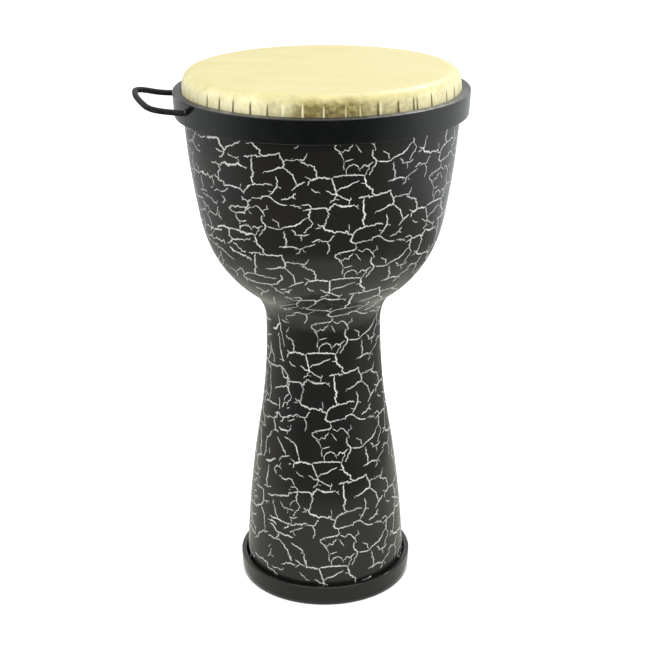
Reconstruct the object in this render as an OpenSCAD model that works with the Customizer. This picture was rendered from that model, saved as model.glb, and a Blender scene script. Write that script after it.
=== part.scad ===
// Djembe with a head that is tensioned at the factory: a goblet-shaped moulded shell, a skin
// stretched over a bearing ring and folded round a steel hoop under a moulded collar, a foot
// ring, and a cord loop to carry or hang it by. Millimetres. The drum's axis is Z, its foot
// stands on Z = 0, and the loop leaves the collar on the -X side, a little towards -Y.

/* [Head] */
// Height from the floor to the playing surface
drum_h = 508; // [500:1:520]
// Diameter over the skirt at the hoop
head_d = 255; // [253:0.5:256]
// Diameter over the skirt just under the rounded rim
rim_d = 250.6; // [249:0.2:252]
// Thickness of the skin
skin_t = 0.9; // [0.6:0.1:1.0]
// Radius over which the skin turns down at the rim
rim_round = 10; // [8:0.5:11]
// Thickness of the steel hoop inside the skin's folded edge
hoop_d = 3; // [2.4:0.2:3]

/* [Collar] */
// How far the collar's top stands out from the skirt
collar_out = 7; // [7:0.5:10]
// Height of the collar
collar_h = 22; // [22:1:28]
// How far the playing surface stands above the collar
head_rise = 17.5; // [14:0.5:20]
// Thickness of the collar's outer wall
collar_wall = 2.6; // [2:0.2:2.6]
// How much narrower the collar's radius is at its bottom
collar_draft = 1; // [0:0.1:1]

/* [Shell] */
// Thickness of the shell's wall
wall = 4; // [3:0.5:4.5]
// Diameter at the shell's lower end
stem_d = 159.2; // [156:0.2:160]
// Diameter part of the way up the stem, where it narrows fastest
knee_d = 126; // [120:1:132]
// Height of that place above the floor
knee_z = 165; // [150:1:180]
// Diameter at the waist
waist_d = 109.2; // [104:0.2:114]
// Height of the waist above the floor
waist_z = 268; // [262:1:272]
// Diameter at the bowl's underside, where it opens fastest
flare_d = 139.4; // [134:0.2:144]
// Height of that place above the floor
flare_z = 301; // [298:1:306]
// Diameter at the bowl's shoulder
shoulder_d = 228.2; // [224:0.2:232]
// Height of the shoulder above the floor
shoulder_z = 375.5; // [370:0.5:380]

/* [Foot] */
// Diameter over the foot ring's top edge
foot_d = 170; // [168:1:176]
// Height of the foot ring
foot_h = 20; // [18:1:26]
// Thickness of the foot ring under the shell
foot_floor = 4; // [3:0.5:5]
// Diameter of the sound port through the foot ring
port_d = 143; // [140:1:145]

/* [Carry loop] */
// Thickness of the cord
cord_d = 5; // [4:0.1:5]
// Distance between the loop's two ends, centre to centre
loop_span = 88; // [80:1:92]
// Angle of the loop's middle round the drum, from -X towards -Y
loop_turn = 9; // [-20:1:20]
// Angle at which the loop stands up from level at rest
loop_tilt = 10; // [-20:1:40]
// How far the loop's ends are below the collar's top
loop_drop = 9.4; // [7.5:0.1:9.6]

/* [Hidden] */
$fn = 96;

// Glue line between pieces that are bonded or rest on each other
fit = 0.1;

// Slopes of the shell's outline at its stations, in degrees outward from straight up
stem_slope = -3.3;
knee_slope = -9.8;
waist_slope = 0;
flare_slope = 54;
shoulder_slope = 10;
mouth_slope = 2.6;
// Length of a curve's handles as a share of the distance between its stations
ease = 0.36;
// Straight steps that each curve between two stations is drawn with
curve_steps = 8;

// Head: the skirt widens a little from the rim down to the hoop
head_r = head_d / 2;
rim_r = rim_d / 2;
hoop_r = hoop_d / 2;
fold_r = hoop_r + fit;

// Collar: its top, its section and the hollow that holds the fold and the knots
collar_r = head_r + collar_out;
collar_top = drum_h - head_rise;
collar_bottom = collar_top - collar_h;
collar_in = collar_r - collar_wall;
hoop_z = collar_bottom + 5.5;
fold_top = hoop_z + 2.4;
ledge_t = 2.5;
ledge_in = skirt_radius(collar_top) + 1;

// The shell's mouth, under the bearing ring, and the flange that closes the collar below it
mouth_z = drum_h - 28;
mouth_r = skirt_radius(mouth_z) - skin_t - fit;
flange_t = 2;
flange_in = mouth_r - 0.15;

// Bearing ring: the rounded rim that the skin is stretched over
rim_in = mouth_r - 14.4;
rim_foot_z = mouth_z - 14;
spigot_r = mouth_r - wall - 0.8;
spigot_in = spigot_r - 4;
rim_inner_round = 2.5;
rim_depth = 14;

// Foot ring: a channel that the shell's end stands in
foot_r = foot_d / 2;
foot_draft = 0.7;
foot_edge = 1.4;
port_r = port_d / 2;
lip_top = 14;
lip_out = stem_d / 2 - wall - 0.8;
channel_chamfer = 0.8;
lip_chamfer = 1;

// Eyelets and knots, along the radius through each hole in the collar
cord_r = cord_d / 2;
hole_r = 3.3;
cut_past = 4;
eyelet_bore = cord_r + 0.15;
eyelet_barrel = hole_r - fit;
eyelet_flange = 3.6;
eyelet_curl = 4.2;
flange_thick = 0.8;
curl_thick = 0.6;
knot_r = 4.4;
knot_round = 1.5;
knot_in = head_r + 0.25;
loop_z = collar_top - loop_drop;
eyelet_face = collar_radius(loop_z + eyelet_flange) + fit / 2 + flange_thick;
knot_out = collar_in - fit - curl_thick - fit;

// The loop hinges on the line through its two ends, just clear of the eyelets
end_r = eyelet_face + cord_r + 0.05;
end_turn = asin(loop_span / 2 / end_r);
hinge_x = end_r * cos(end_turn);

// Route of the loop in its own plane: [out from the hinge line, along the line towards -Y]
LOOP_ROUTE = [
    [5, 44.5], [10, 45.5], [15, 46], [20, 45.5], [25, 43], [29, 36.5], [31.5, 26.5], [34, 14],
    [36, 1], [37, -12], [37, -22], [36, -31], [32, -37.5], [26, -39], [19, -38],
    [12, -38.5], [6, -41]
];
cord_sides = 10;
// Rings that round off each end of the cord: [share of its radius back, share of its radius]
CORD_END = [[1, 0.12], [0.87, 0.5], [0.5, 0.87]];

// Outlines

// Unit vector at a slope in degrees outward from straight up
function slope(a) = [sin(a), cos(a)];

// Points of an arc about c, from angle a to angle b
function arc(c, r, a, b, steps = 6) =
    [for (i = [0 : steps]) c + r * [cos(a + (b - a) * i / steps), sin(a + (b - a) * i / steps)]];

// Stations of the shell's outline: [[radius, height], slope]
STATIONS = [
    [[stem_d / 2, foot_floor], stem_slope],
    [[knee_d / 2, knee_z], knee_slope],
    [[waist_d / 2, waist_z], waist_slope],
    [[flare_d / 2, flare_z], flare_slope],
    [[shoulder_d / 2, shoulder_z], shoulder_slope],
    [[mouth_r, mouth_z], mouth_slope]
];

// The four control points of the curve from station i to the next
function controls(i) =
    let (p = STATIONS[i][0], q = STATIONS[i + 1][0], reach = ease * norm(q - p))
    [p, p + reach * slope(STATIONS[i][1]), q - reach * slope(STATIONS[i + 1][1]), q];

// Point at t on a cubic curve, and the direction it runs in there
function on_curve(c, t) =
    pow(1 - t, 3) * c[0] + 3 * pow(1 - t, 2) * t * c[1] + 3 * (1 - t) * t * t * c[2] + pow(t, 3) * c[3];
function direction(c, t) =
    let (v = pow(1 - t, 2) * (c[1] - c[0]) + 2 * (1 - t) * t * (c[2] - c[1]) + t * t * (c[3] - c[2]))
    v / norm(v);

// Point at t on curve i of the shell's outline, moved in by depth square to it
function shell_point(i, t, depth) =
    let (c = controls(i), p = on_curve(c, t), d = direction(c, t))
    [p[0] - depth * d[1], p[1] + depth * d[0]];

// The whole outline from foot to mouth, with its two ends cut level
function shell_line(depth) = concat(
    [[stem_d / 2 - depth, foot_floor]],
    [for (i = [0 : len(STATIONS) - 2], k = [1 : curve_steps])
        if (i < len(STATIONS) - 2 || k < curve_steps) shell_point(i, k / curve_steps, depth)],
    [[mouth_r - depth, mouth_z]]
);

// Radius of the skirt's outer face at a height between the hoop and the rounded rim
function skirt_radius(z) = head_r - (head_r - rim_r) * (z - hoop_z) / (drum_h - rim_round - hoop_z);

// Radius of the collar's outer wall at a height
function collar_radius(z) = collar_r - collar_draft * (collar_top - z) / collar_h;

// A list from its last item to its first
function backward(list) = [for (i = [len(list) - 1 : -1 : 0]) list[i]];

// Sub-parts

// The one-piece goblet: bowl, waist and stem
module shell() {
    color([0.09, 0.085, 0.09])
        rotate_extrude()
            polygon(concat(shell_line(0), backward(shell_line(wall))));
}

// Rounded ring bonded into the mouth, which gives the skin its bearing edge
module bearing_ring() {
    top = drum_h - skin_t - fit / 2;
    outer = rim_round - skin_t;
    color([0.16, 0.15, 0.15])
        rotate_extrude()
            polygon(concat(
                [[spigot_in, rim_foot_z], [spigot_r, rim_foot_z], [spigot_r, mouth_z + fit / 2],
                 [mouth_r, mouth_z + fit / 2]],
                arc([rim_r - skin_t - fit - outer, top - outer], outer, 0, 90, 8),
                arc([rim_in + rim_inner_round, top - rim_inner_round], rim_inner_round, 90, 180),
                [[rim_in, top - rim_depth], [spigot_in, top - rim_depth - (spigot_in - rim_in)]]
            ));
}

// The skin: flat head, rounded rim, skirt and the edge folded round the hoop
module drumhead() {
    fold_at = [head_r + fold_r, hoop_z];
    color([0.93, 0.88, 0.70])
        rotate_extrude()
            polygon(concat(
                [[0, drum_h - skin_t]],
                arc([rim_r - rim_round, drum_h - rim_round], rim_round - skin_t, 90, 0, 8),
                arc(fold_at, fold_r + skin_t, 180, 360, 10),
                [[fold_at[0] + fold_r + skin_t, fold_top], [fold_at[0] + fold_r, fold_top]],
                arc(fold_at, fold_r, 360, 180, 10),
                arc([rim_r - rim_round, drum_h - rim_round], rim_round, 0, 90, 8),
                [[0, drum_h]]
            ));
}

// Steel rod hoop that the skin's edge is folded round
module flesh_hoop() {
    color("silver")
        translate([0, 0, hoop_z])
            rotate_extrude()
                translate([head_r + fold_r, 0])
                    circle(hoop_r);
}

// Moulded collar: a channel section closed towards the shell, with a hole for each cord end
module collar() {
    edge = 1;
    color([0.15, 0.155, 0.16])
        difference() {
            rotate_extrude()
                polygon(concat(
                    arc([flange_in + edge / 2, collar_bottom + edge / 2], edge / 2, 180, 270, 3),
                    arc([collar_radius(collar_bottom) - edge, collar_bottom + edge], edge, 270, 360, 4),
                    arc([collar_r - edge, collar_top - edge], edge, 0, 90, 4),
                    arc([ledge_in + edge / 2, collar_top - edge / 2], edge / 2, 90, 180, 3),
                    [[ledge_in, collar_top - ledge_t], [collar_in, collar_top - ledge_t],
                     [collar_in, collar_bottom + flange_t],
                     [flange_in, collar_bottom + flange_t]]
                ));
            for (side = [-1, 1])
                at_cord_hole(side)
                    translate([0, 0, collar_in - cut_past])
                        cylinder(r = hole_r, h = collar_wall + 2 * cut_past);
        }
}

// Moulded foot ring: a channel that the shell's lower end is bonded into
module foot_ring() {
    edge = 1.2;
    gap_r = stem_d / 2 + fit;
    color([0.14, 0.14, 0.145])
        rotate_extrude()
            polygon(concat(
                [[port_r, lip_chamfer], [port_r + lip_chamfer, 0]],
                arc([foot_r - foot_draft - foot_edge, foot_edge], foot_edge, 270, 360, 5),
                arc([foot_r - edge, foot_h - edge], edge, 0, 90, 4),
                [[gap_r + channel_chamfer, foot_h], [gap_r, foot_h - channel_chamfer],
                 [gap_r, foot_floor], [lip_out, foot_floor]],
                arc([lip_out - edge, lip_top - edge], edge, 0, 90, 4),
                [[port_r + lip_chamfer, lip_top], [port_r, lip_top - lip_chamfer]]
            ));
}

// Puts its children, which stand along +Z, on the radius through a cord hole.
// side is 1 for the front hole, towards -Y, and -1 for the rear one.
module at_cord_hole(side) {
    translate([0, 0, loop_z])
        rotate([0, 0, 180 + loop_turn + side * end_turn])
            rotate([0, 90, 0])
                children();
}

// Rolled eyelet that lines a hole in the collar
module eyelet(side) {
    curl_at = collar_in - fit;
    color([0.22, 0.22, 0.23])
        at_cord_hole(side)
            rotate_extrude()
                polygon([
                    [eyelet_bore, curl_at - curl_thick], [eyelet_curl, curl_at - curl_thick],
                    [eyelet_curl, curl_at], [eyelet_barrel, curl_at],
                    [eyelet_barrel, eyelet_face - flange_thick],
                    [eyelet_flange, eyelet_face - flange_thick],
                    [eyelet_flange, eyelet_face - flange_thick / 2],
                    [eyelet_flange - flange_thick / 2, eyelet_face], [eyelet_bore, eyelet_face]
                ]);
}

module front_eyelet() { eyelet(1); }
module rear_eyelet() { eyelet(-1); }

// Flattened stopper knot behind the collar, with the cord's end through the eyelet
module knot(side) {
    color([0.07, 0.07, 0.075])
        at_cord_hole(side)
            rotate_extrude()
                polygon(concat(
                    [[0, knot_in]],
                    arc([knot_r - knot_round, knot_in + knot_round], knot_round, 270, 360, 4),
                    arc([knot_r - knot_round, knot_out - knot_round], knot_round, 0, 90, 4),
                    [[cord_r - fit / 2, knot_out], [cord_r - fit / 2, eyelet_face], [0, eyelet_face]]
                ));
}

module front_knot() { knot(1); }
module rear_knot() { knot(-1); }

// The loop of cord outside the collar, from one end to the other
module carry_loop() {
    half = loop_span / 2;
    route = concat([[0, half]], LOOP_ROUTE, [[0, -half]]);
    last = len(route) - 1;
    heading = [for (i = [0 : last])
        let (v = route[min(i + 1, last)] - route[max(i - 1, 0)]) v / norm(v)];
    rings = concat(
        [for (e = CORD_END) [route[0] - e[0] * cord_r * heading[0], heading[0], e[1] * cord_r]],
        [for (i = [0 : last]) [route[i], heading[i], cord_r]],
        [for (e = backward(CORD_END)) [route[last] + e[0] * cord_r * heading[last], heading[last],
            e[1] * cord_r]]
    );
    points = [for (g = rings, k = [0 : cord_sides - 1])
        let (a = 360 * k / cord_sides, across = [-g[1][1], g[1][0]], p = g[0] + g[2] * cos(a) * across)
        [p[0], p[1], g[2] * sin(a)]];
    faces = concat(
        [[for (k = [0 : cord_sides - 1]) k]],
        [for (j = [0 : len(rings) - 2], k = [0 : cord_sides - 1])
            let (a = j * cord_sides + k, b = j * cord_sides + (k + 1) % cord_sides)
            [a, a + cord_sides, b + cord_sides, b]],
        [[for (k = [cord_sides - 1 : -1 : 0]) (len(rings) - 1) * cord_sides + k]]
    );
    color([0.06, 0.06, 0.065])
        translate([0, 0, loop_z])
            rotate([0, 0, 180 + loop_turn])
                translate([hinge_x, 0, 0])
                    rotate([0, -loop_tilt, 0])
                        polyhedron(points, faces);
}

shell();
bearing_ring();
drumhead();
flesh_hoop();
collar();
foot_ring();
front_eyelet();
rear_eyelet();
front_knot();
rear_knot();
carry_loop();
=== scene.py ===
"""Looks of the djembe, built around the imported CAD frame. Metres, +Z up, the drum's axis is Z.

The moulded goblet with its printed crackle, the pleated skin and the braided carry loop are made here.
The collar, foot ring, hoop, bearing ring, eyelets and knots are the CAD nodes with better materials.
"""
import math

import bpy
import numpy as np
from mathutils import Matrix, Vector


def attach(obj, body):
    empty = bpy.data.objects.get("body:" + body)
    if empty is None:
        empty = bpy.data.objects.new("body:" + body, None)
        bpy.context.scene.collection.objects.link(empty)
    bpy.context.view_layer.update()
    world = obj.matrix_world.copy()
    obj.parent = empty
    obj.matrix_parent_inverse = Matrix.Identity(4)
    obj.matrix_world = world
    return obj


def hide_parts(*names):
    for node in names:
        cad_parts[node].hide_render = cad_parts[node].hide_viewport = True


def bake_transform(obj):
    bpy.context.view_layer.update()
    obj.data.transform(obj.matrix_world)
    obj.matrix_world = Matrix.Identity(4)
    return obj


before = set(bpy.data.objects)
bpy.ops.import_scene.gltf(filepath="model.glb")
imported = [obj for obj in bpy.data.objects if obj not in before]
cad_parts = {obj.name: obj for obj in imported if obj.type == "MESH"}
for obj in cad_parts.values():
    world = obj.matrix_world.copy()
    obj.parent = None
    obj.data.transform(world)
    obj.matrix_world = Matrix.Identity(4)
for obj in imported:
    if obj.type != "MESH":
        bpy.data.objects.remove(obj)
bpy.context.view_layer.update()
MM = 0.001

# ------------------------------ dimensions, in millimetres
DRUM_H = 508.0
HEAD_R = 127.5        # skirt at the hoop
RIM_R = 125.3         # skirt just under the rounded rim
RIM_ROUND = 10.0
SKIN_T = 0.9
FIT = 0.1
HOOP_Z = 474.0
HOOP_R = 1.5
FOLD_TOP = 476.4
FOOT_TOP = 20.0
WALL = 4.0
# Stations of the shell's outline, from the foot up: radius, height, slope in degrees outward from upright
STATIONS = [(79.6, 4.0, -3.3), (63.0, 165.0, -9.8), (54.6, 268.0, 0.0), (69.7, 301.0, 54.0),
            (114.1, 375.5, 10.0), (125.95, 480.0, 2.6)]
EASE = 0.36
# Carry loop
CORD_D = 5.0
LOOP_Z = 481.1
LOOP_TURN = 9.0
LOOP_TILT = 10.0
HINGE_X = 130.41
END_TURN = 18.644
EYELET_FACE = 135.09
# Stations of the loop in its own plane: away from the hinge line, and along it
LOOP_ROUTE = [(5, 44.5), (10, 45.5), (15, 46), (20, 45.5), (25, 43), (29, 36.5), (31.5, 26.5), (34, 14),
              (36, 1), (37, -12), (37, -22), (36, -31), (32, -37.5), (26, -39), (19, -38),
              (12, -38.5), (6, -41)]
CORD_SIDES = 24                       # points round the cord
CORD_STEP = 0.55                      # and how far apart their rings are
STRANDS = 8
BRAID_LAY = 9.0                       # length in which a strand goes once round
# How fine the turned and pleated meshes are: points round the axis
SHELL_AROUND = 240
SKIN_AROUND = 1200
# Skin that is turned down past the head: skirt and fold
# Print: its underside and top above the shell's face, and the ends of the printed length, down from the mouth
PRINT_LOW, PRINT_HIGH = 0.02, 0.10
PRINT_FROM, PRINT_TO = 1.5, 490
PRINT_SEED, SKIN_SEED = 41, 7


# ------------------------------ camera
CAMERA_AT = (0, -1.2578, 0.7438)
CAMERA_PITCH, CAMERA_YAW, CAMERA_ROLL = 21.05, 0.065, -0.44      # degrees
CAMERA_LENS, CAMERA_SENSOR = 77.56, 36.0


def make_camera():
    """The camera at the photo's angle."""
    pitch, yaw, roll = (math.radians(a) for a in (CAMERA_PITCH, CAMERA_YAW, CAMERA_ROLL))
    forward = Vector((math.sin(yaw) * math.cos(pitch), math.cos(yaw) * math.cos(pitch), -math.sin(pitch)))
    right = Vector((math.cos(yaw), -math.sin(yaw), 0))
    up = right.cross(forward)
    right, up = (math.cos(roll) * right + math.sin(roll) * up, -math.sin(roll) * right + math.cos(roll) * up)
    data = bpy.data.cameras.new("camera")
    data.sensor_width, data.lens = CAMERA_SENSOR, CAMERA_LENS
    data.clip_start, data.clip_end = 0.05, 50
    camera = bpy.data.objects.new("camera", data)
    bpy.context.scene.collection.objects.link(camera)
    turn = Matrix((right, up, -forward)).transposed().to_4x4()
    camera.matrix_world = Matrix.Translation(CAMERA_AT) @ turn
    bpy.context.scene.camera = camera


# ------------------------------ mesh helpers
def make_piece(name, verts, faces, materials, smooth=True, face_slots=None):
    """A mesh object from points in millimetres; face_slots gives each face's material."""
    mesh = bpy.data.meshes.new(name)
    mesh.from_pydata([tuple(float(x) * MM for x in v) for v in verts], [],
                     [tuple(map(int, f)) for f in faces])
    mesh.validate()
    for m in materials:
        mesh.materials.append(m)
    if face_slots is not None:
        mesh.polygons.foreach_set("material_index", np.array(face_slots, np.int32))
    mesh.polygons.foreach_set("use_smooth", [smooth] * len(mesh.polygons))
    mesh.update()
    piece = bpy.data.objects.new(name, mesh)
    bpy.context.scene.collection.objects.link(piece)
    return piece


def add_values(piece, name, values):
    """A number for each point of a piece, for its material to read."""
    data = piece.data.attributes.new(name, "FLOAT", "POINT").data
    data.foreach_set("value", np.array(values, np.float32))


def grid_faces(rows, cols):
    """Quads of rows of cols points; each row closes on itself."""
    return [(r * cols + c, r * cols + (c + 1) % cols, (r + 1) * cols + (c + 1) % cols, (r + 1) * cols + c)
            for r in range(rows - 1) for c in range(cols)]


def smooth_line(points, steps):
    """Points on a Catmull-Rom curve through the given points."""
    p = np.array(points, float)
    p = np.vstack([2 * p[0] - p[1], p, 2 * p[-1] - p[-2]])
    out = []
    for i in range(1, len(p) - 2):
        for t in np.linspace(0, 1, steps, endpoint=False):
            a, b, c, d = p[i - 1], p[i], p[i + 1], p[i + 2]
            out.append(0.5 * (2 * b + (c - a) * t + (2 * a - 5 * b + 4 * c - d) * t ** 2
                              + (3 * b - a - 3 * c + d) * t ** 3))
    out.append(p[-2])
    return np.array(out)


def evenly(points, step):
    """The same line with its points a step apart."""
    p = np.array(points, float)
    s = np.concatenate([[0], np.cumsum(np.linalg.norm(np.diff(p, axis=0), axis=1))])
    n = max(1, int(round(s[-1] / step)))
    at = np.linspace(0, s[-1], n + 1)
    return np.column_stack([np.interp(at, s, p[:, k]) for k in range(p.shape[1])])


# ------------------------------ carry loop
def cord_line():
    """Centreline of the loop, from inside the front eyelet to inside the rear one."""
    half = HINGE_X * math.tan(math.radians(END_TURN))
    route = np.array([(0, half)] + LOOP_ROUTE + [(0, -half)], float)
    tilt, turn = math.radians(LOOP_TILT), math.radians(180 + LOOP_TURN)
    pts = []
    for u, w in route:
        x, z = HINGE_X + u * math.cos(tilt), u * math.sin(tilt)
        pts.append((x * math.cos(turn) - w * math.sin(turn), x * math.sin(turn) + w * math.cos(turn),
                    LOOP_Z + z))

    def in_hole(side, radius):
        """A point of the cord inside an eyelet, at a radius from the drum's axis."""
        a = turn + side * math.radians(END_TURN)
        return (radius * math.cos(a), radius * math.sin(a), LOOP_Z)

    inner, mid = EYELET_FACE - 3.0, EYELET_FACE - 0.5
    return np.array([in_hole(1, inner), in_hole(1, mid)] + pts + [in_hole(-1, mid), in_hole(-1, inner)])


def make_cord(material):
    """The braided loop: a tube whose strands cross in two directions."""
    line = evenly(smooth_line(cord_line(), 12), CORD_STEP)
    tangent = np.gradient(line, axis=0)
    tangent /= np.linalg.norm(tangent, axis=1)[:, None]
    side = np.cross(tangent[0], (0, 0, 1.0))
    along = np.concatenate([[0], np.cumsum(np.linalg.norm(np.diff(line, axis=0), axis=1))])
    verts, strand_light = [], []
    for p, t, s in zip(line, tangent, along):
        side = side - t * side.dot(t)
        side /= np.linalg.norm(side)
        across = np.cross(t, side)
        for k in range(CORD_SIDES):
            a = 2 * math.pi * k / CORD_SIDES
            w1 = math.cos(STRANDS / 2 * a + 2 * math.pi * s / BRAID_LAY * 2)
            w2 = math.cos(STRANDS / 2 * a - 2 * math.pi * s / BRAID_LAY * 2)
            over = max(abs(w1), abs(w2)) ** 0.7
            # The same relief value paints a highlight on the strand's crown and shade where it dips, in the
            # cord's material.
            strand_light.append(over)
            r = CORD_D / 2 * (0.97 + 0.10 * over)
            verts.append(p + r * (math.cos(a) * side + math.sin(a) * across))
    rows = len(line)
    faces = grid_faces(rows, CORD_SIDES)
    faces += [tuple(range(CORD_SIDES))[::-1], tuple((rows - 1) * CORD_SIDES + k for k in range(CORD_SIDES))]
    cord = make_piece("carry_cord", verts, faces, [material])
    add_values(cord, "strand_light", strand_light)
    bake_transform(cord)
    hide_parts("carry_loop")


# ------------------------------ shell
def outline(steps=40):
    """The shell's outer line from foot to mouth, and its unit outward direction at each point."""
    pts, ways = [], []
    for (r0, z0, a0), (r1, z1, a1) in zip(STATIONS, STATIONS[1:]):
        reach = EASE * math.hypot(r1 - r0, z1 - z0)
        p0, p3 = np.array((r0, z0)), np.array((r1, z1))
        d0 = np.array((math.sin(math.radians(a0)), math.cos(math.radians(a0))))
        d1 = np.array((math.sin(math.radians(a1)), math.cos(math.radians(a1))))
        c = [p0, p0 + reach * d0, p3 - reach * d1, p3]
        last = z1 == STATIONS[-1][1]
        for t in np.linspace(0, 1, steps + (1 if last else 0), endpoint=last):
            u = 1 - t
            pts.append(u ** 3 * c[0] + 3 * u ** 2 * t * c[1] + 3 * u * t * t * c[2] + t ** 3 * c[3])
            way = u ** 2 * (c[1] - c[0]) + 2 * u * t * (c[2] - c[1]) + t * t * (c[3] - c[2])
            ways.append(way / np.linalg.norm(way))
    pts, ways = np.array(pts), np.array(ways)
    return pts, np.column_stack([ways[:, 1], -ways[:, 0]])


def lathe(profile, around):
    """Points of a profile of radius and height turned round the axis."""
    a = np.arange(around) * 2 * math.pi / around
    p = np.array(profile, float)
    return np.stack([p[:, 0][:, None] * np.cos(a), p[:, 0][:, None] * np.sin(a),
                     np.repeat(p[:, 1][:, None], around, 1)], -1).reshape(-1, 3)


def make_shell(outside, inside):
    """The goblet, open at both ends, with its inside in a material of its own."""
    pts, out = outline()
    inner = pts - WALL * out
    for end in (0, -1):
        inner[end] = STATIONS[end][0] - WALL, STATIONS[end][1]
    around = SHELL_AROUND
    profile = np.vstack([pts, inner[::-1], pts[:1]])
    n = len(profile) - 1
    verts = lathe(profile[:-1], around)
    faces, slots = [], []
    for r in range(n):
        for c in range(around):
            d = (c + 1) % around
            q = (r + 1) % n
            faces.append((r * around + c, r * around + d, q * around + d, q * around + c))
            slots.append(0 if r < len(pts) - 1 else 1)
    shell = make_piece("shell_body", verts, faces, [outside, inside], face_slots=slots)
    shell.data.set_sharp_from_angle(angle=math.radians(40))
    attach(shell, "drum")
    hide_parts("shell")


# ------------------------------ printed crackle
# The print repeats like wallpaper. One repeat is given as cracks in the film's own plane, in mm: across
# (to +X from the middle of the -Y side) and down from the shell's mouth, each with its line width.
REPEAT_ACROSS = (95.0, 39.0)
REPEAT_DOWN = (0.0, 100.0)
CRACKS = [
    (1.7, (36, 61), (36, 66), (35, 72), (36, 77), (35, 82), (36, 88)),
    (1.5, (31, 61), (37, 60), (44, 61)),
    (1.3, (26, 95), (29, 91), (33, 89), (40, 88), (47, 87), (54, 88)),
    (1.4, (-4, 84), (0, 85), (2, 89), (8, 90), (10, 92), (14, 91), (18, 92), (21, 91), (22, 94), (25, 95),
     (26, 98), (24, 100), (25, 103), (29, 104)),
    (1.0, (23, 85), (23, 91)),
    (1.3, (29, 104), (36, 102), (43, 101), (45, 99), (50, 98), (52, 101), (55, 103), (57, 105), (61, 106),
     (66, 106)),
    (1.2, (-27, 67), (-22, 68), (-17, 69)),
    (1.2, (-17, 66), (-12, 66), (-10, 68), (-9, 70)),
    (1.3, (-16, 71), (-10, 70), (-5, 69), (2, 69), (5, 71), (7, 68), (10, 65), (13, 67)),
    (2.1, (13, 67), (18, 68), (24, 67), (27, 67)),
    (0.9, (27, 67), (31, 71)),
    (1.2, (-10, 70), (-11, 74), (-11, 79)),
    (1.3, (-48, 90), (-42, 91), (-39, 92), (-35, 91), (-30, 88), (-22, 86), (-19, 84), (-17, 81), (-13, 79),
     (-11, 79)),
    (1.0, (-11, 79), (-8, 84), (-10, 87), (-13, 90), (-15, 94)),
    (0.8, (-6, 88), (-1, 87)),
    (1.0, (-26, 91), (-22, 95), (-17, 96), (-11, 94)),
    (0.9, (-17, 96), (-18, 101)),
    (1.2, (3, 70), (5, 75), (3, 79), (2, 84), (1, 86)),
    (1.8, (-10, 43), (-5, 42), (3, 42), (8, 42)),
    (1.5, (8, 42), (10, 41), (18, 40), (27, 40), (33, 41), (36, 41)),
    (1.1, (-10, 43), (-14, 40)),
    (1.2, (-10, 43), (-12, 48)),
    (1.5, (36, 41), (37, 45), (38, 51), (42, 53), (44, 56), (43, 58), (47, 60), (51, 59), (56, 58), (61, 58)),
    (0.9, (33, 48), (38, 49)),
    (1.4, (60, 58), (61, 62), (64, 65), (64, 68), (62, 71)),
    (1.2, (64, 65), (70, 64), (76, 64), (79, 64), (81, 62), (83, 58)),
    (0.8, (79, 64), (80, 67)),
    (1.2, (62, 71), (55, 73), (49, 74), (46, 77)),
    (1.3, (62, 71), (66, 73), (70, 77), (73, 82), (75, 88)),
    (1.3, (-14, 45), (-19, 47), (-22, 50), (-25, 53)),
    (1.2, (57, 79), (58, 85), (57, 89), (54, 94), (51, 98)),
    (0.8, (57, 90), (61, 90)),
    (0.8, (50, 93), (54, 94)),
    (1.1, (-22, 55), (-25, 59), (-28, 61), (-34, 62)),
    (0.8, (-26, 59), (-22, 61)),
    (1.5, (8, 42), (9, 47), (10, 51), (12, 54), (12, 58)),
    (1.2, (12, 54), (15, 51), (21, 50), (26, 47), (31, 45)),
    (1.0, (3, 53), (8, 56), (11, 57)),
    (1.1, (13, 57), (18, 60), (23, 63), (24, 60)),
    (1.0, (23, 63), (22, 66)),
    (1.1, (12, 58), (10, 61), (6, 64)),
    (0.8, (10, 61), (14, 61)),
    (1.0, (-9, 51), (-6, 54), (-2, 55)),
    (1.1, (20, 40), (20, 35), (23, 32), (27, 30), (30, 32), (32, 37)),
    (1.1, (32, 34), (36, 32), (39, 33), (41, 31), (44, 30)),
    (1.2, (40, 33), (39, 37), (36, 41)),
    (1.1, (10, 15), (13, 18), (15, 20), (18, 27)),
    (1.0, (18, 28), (19, 31), (18, 35)),
    (1.0, (19, 28), (26, 26)),
    (1.1, (15, 20), (19, 18), (22, 18), (26, 13)),
    (1.3, (29, 104), (30, 108), (27, 111)),
    (1.2, (27, 111), (21, 111), (13, 112), (10, 115)),
    (0.8, (14, 111), (15, 114)),
    (1.1, (30, 110), (34, 112), (37, 110), (40, 110), (43, 114), (45, 117), (45, 120)),
    (1.6, (48, 108), (48, 112), (45, 114)),
    (1.0, (28, 114), (31, 118), (33, 121)),
    (1.4, (43, 19), (43, 25), (46, 28), (46, 32), (43, 36), (40, 41)),
    (1.3, (-32, 93), (-32, 98), (-30, 106)),
    (1.2, (-37, 110), (-30, 109), (-26, 108), (-20, 109), (-13, 106), (-9, 105), (-6, 103)),
    (1.2, (-18, 109), (-20, 113), (-22, 115)),
    (0.9, (-30, 106), (-33, 110)),
    (0.8, (-17, 109), (-14, 112)),
    (1.1, (-42, 82), (-38, 85), (-36, 90)),
    (1.2, (-9, 101), (-3, 99), (4, 101), (7, 98), (10, 95)),
    (1.1, (4, 101), (6, 106), (5, 110), (3, 112)),
    (1.2, (-18, 26), (-12, 29), (-7, 31), (-5, 36), (-4, 42)),
]
# The film stretches as it is drawn round the waist, and slips sideways there
FILM_WAIST = 142.0
FILM_STRETCH = 1.075
SLIP = [(0, 0), (120, 0), (142, -2), (161, -8), (200, -20), (242, -25), (261, -26), (342, -20), (361, -17.5),
        (442, -14), (520, -11)]


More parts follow.
